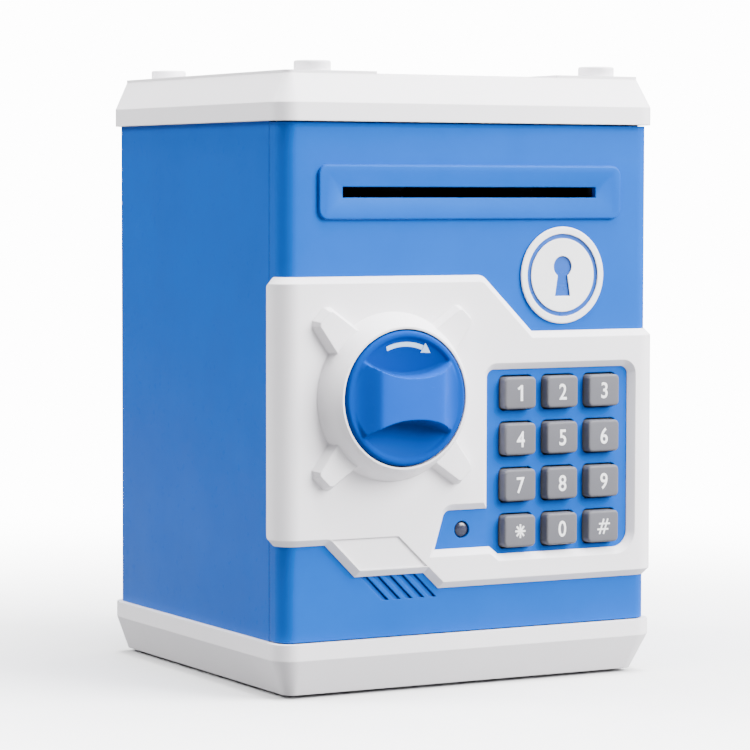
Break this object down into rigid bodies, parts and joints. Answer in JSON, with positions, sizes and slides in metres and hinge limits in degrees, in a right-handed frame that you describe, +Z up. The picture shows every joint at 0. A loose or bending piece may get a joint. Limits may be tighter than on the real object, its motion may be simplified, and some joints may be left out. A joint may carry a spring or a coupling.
{
  "type": "toy electronic savings bank",
  "caption": "Toy cash-machine savings bank: blue box with white cap and base, hinged front door, turn knob, keypad, note slot and a motor-driven note feeder.",
  "frame": {"origin": "centre of the box's footprint on the surface it stands on; the knob and front cover reach past it to the front", "axes": "+Z up, front (slot, knob and keypad) facing -Y, keypad side +X"},
  "size_m": [0.132, 0.1352, 0.1882],
  "materials": {
    "blue_shell": "moulded ABS, light gloss",
    "white_shell": "moulded ABS, light gloss",
    "pads": "soft foam pad",
    "screws": "zinc plated",
    "pins": "ground",
    "badge": "printed label",
    "knob": "moulded ABS, light gloss",
    "keys": "satin",
    "mat": "silicone",
    "boards": "circuit board",
    "lamp": "smoked resin",
    "mechanism": "acetal",
    "feeder": "dark acetal",
    "lock": "plated",
    "motor": "plated can",
    "gears": "acetal",
    "rollers": "soft rubber",
    "speaker_steel": "stamped",
    "speaker_paper": "paper cone",
    "cells": "plain sleeve",
    "contacts": "nickel plated",
    "lid": "moulded ABS, light gloss",
    "switches": "satin",
    "wires": "insulated lead"
  },
  "bodies": {
    "case": {"body_shell": "blue_shell", "top_cap": "white_shell", "base": "white_shell", "rest_pads": "pads", "case_screws": "screws"},
    "door": {"door_shell": "blue_shell", "front_cover": "white_shell", "badge": "badge", "hinge_pins": "pins", "door_back_cover": "blue_shell", "door_screws": "screws", "keypad_membrane": "mat", "keypad_board": "boards", "board_screws": "screws", "led": "lamp", "bolt_guide": "mechanism", "lock_solenoid": "lock", "feeder_frame": "feeder", "idler_pin": "pins", "bill_guide": "feeder", "feed_motor": "motor", "main_board": "boards", "speaker_frame": "speaker_steel", "speaker_cone": "speaker_paper", "battery_cells": "cells", "battery_contacts": "contacts", "power_switch": "switches", "wiring": "wires"},
    "knob": {"knob": "knob", "bolt_pinion": "mechanism", "knob_screw": "screws"},
    "bolt": {"latch_bolt": "mechanism"},
    "plunger": {"lock_plunger": "lock"},
    "drive_roller": {"drive_shaft": "pins", "drive_rollers": "rollers", "drive_gear": "gears"},
    "pinch_roller": {"pinch_shaft": "pins", "pinch_rollers": "rollers"},
    "motor_rotor": {"motor_shaft": "pins", "motor_pinion": "gears"},
    "middle_gear": {"idler_gear": "gears"},
    "reset": {"reset_button": "switches"},
    "slider": {"power_slider": "switches"},
    "lid": {"battery_lid": "lid", "lid_screw": "screws"},
    "key_1": {"key_1": "keys"},
    "key_2": {"key_2": "keys"},
    "key_3": {"key_3": "keys"},
    "key_4": {"key_4": "keys"},
    "key_5": {"key_5": "keys"},
    "key_6": {"key_6": "keys"},
    "key_7": {"key_7": "keys"},
    "key_8": {"key_8": "keys"},
    "key_9": {"key_9": "keys"},
    "key_star": {"key_star": "keys"},
    "key_0": {"key_0": "keys"},
    "key_hash": {"key_hash": "keys"}
  },
  "joints": [
    {"name": "door_hinge", "type": "hinge", "parent": "case", "child": "door", "pos_m": [0.0624, -0.05225, 0], "axis": [0, 0, 1], "range_deg": [0, 95]},
    {"name": "knob_turn", "type": "hinge", "parent": "door", "child": "knob", "pos_m": [-0.0285, -0.0589, 0.089], "axis": [0, 1, 0], "range_deg": [-80, 0]},
    {"name": "bolt_slide", "type": "slide", "parent": "door", "child": "bolt", "axis": [-1, 0, 0], "range_m": [0, 0.00524]},
    {"name": "plunger_slide", "type": "slide", "parent": "door", "child": "plunger", "axis": [0, 0, -1], "range_m": [0, 0.003]},
    {"name": "drive_roller_spin", "type": "hinge", "parent": "door", "child": "drive_roller", "pos_m": [0, -0.0438, 0.14435], "axis": [1, 0, 0], "continuous": true},
    {"name": "pinch_roller_spin", "type": "hinge", "parent": "door", "child": "pinch_roller", "pos_m": [0, -0.0438, 0.15465], "axis": [1, 0, 0], "continuous": true},
    {"name": "middle_gear_spin", "type": "hinge", "parent": "door", "child": "middle_gear", "pos_m": [0.049, -0.0438, 0.12675], "axis": [1, 0, 0], "continuous": true},
    {"name": "motor_spin", "type": "hinge", "parent": "door", "child": "motor_rotor", "pos_m": [0.049, -0.0438, 0.11155], "axis": [1, 0, 0], "continuous": true},
    {"name": "reset_press", "type": "slide", "parent": "door", "child": "reset", "axis": [0, -1, 0], "range_m": [0, 0.001]},
    {"name": "power_slide", "type": "slide", "parent": "door", "child": "slider", "axis": [1, 0, 0], "range_m": [0, 0.003]},
    {"name": "battery_lid_lift", "type": "slide", "parent": "door", "child": "lid", "axis": [0, 1, 0], "range_m": [0, 0.012]},
    {"name": "key_1_press", "type": "slide", "parent": "door", "child": "key_1", "axis": [0, 1, 0], "range_m": [0, 0.0012]},
    {"name": "key_2_press", "type": "slide", "parent": "door", "child": "key_2", "axis": [0, 1, 0], "range_m": [0, 0.0012]},
    {"name": "key_3_press", "type": "slide", "parent": "door", "child": "key_3", "axis": [0, 1, 0], "range_m": [0, 0.0012]},
    {"name": "key_4_press", "type": "slide", "parent": "door", "child": "key_4", "axis": [0, 1, 0], "range_m": [0, 0.0012]},
    {"name": "key_5_press", "type": "slide", "parent": "door", "child": "key_5", "axis": [0, 1, 0], "range_m": [0, 0.0012]},
    {"name": "key_6_press", "type": "slide", "parent": "door", "child": "key_6", "axis": [0, 1, 0], "range_m": [0, 0.0012]},
    {"name": "key_7_press", "type": "slide", "parent": "door", "child": "key_7", "axis": [0, 1, 0], "range_m": [0, 0.0012]},
    {"name": "key_8_press", "type": "slide", "parent": "door", "child": "key_8", "axis": [0, 1, 0], "range_m": [0, 0.0012]},
    {"name": "key_9_press", "type": "slide", "parent": "door", "child": "key_9", "axis": [0, 1, 0], "range_m": [0, 0.0012]},
    {"name": "key_star_press", "type": "slide", "parent": "door", "child": "key_star", "axis": [0, 1, 0], "range_m": [0, 0.0012]},
    {"name": "key_0_press", "type": "slide", "parent": "door", "child": "key_0", "axis": [0, 1, 0], "range_m": [0, 0.0012]},
    {"name": "key_hash_press", "type": "slide", "parent": "door", "child": "key_hash", "axis": [0, 1, 0], "range_m": [0, 0.0012]}
  ],
  "couplings": [
    {"joint": "bolt_slide", "follows": "knob_turn", "m_per_rad": -0.00375},
    {"joint": "pinch_roller_spin", "follows": "drive_roller_spin", "ratio": -1},
    {"joint": "middle_gear_spin", "follows": "drive_roller_spin", "ratio": -0.57143},
    {"joint": "motor_spin", "follows": "drive_roller_spin", "ratio": 1.6}
  ]
}
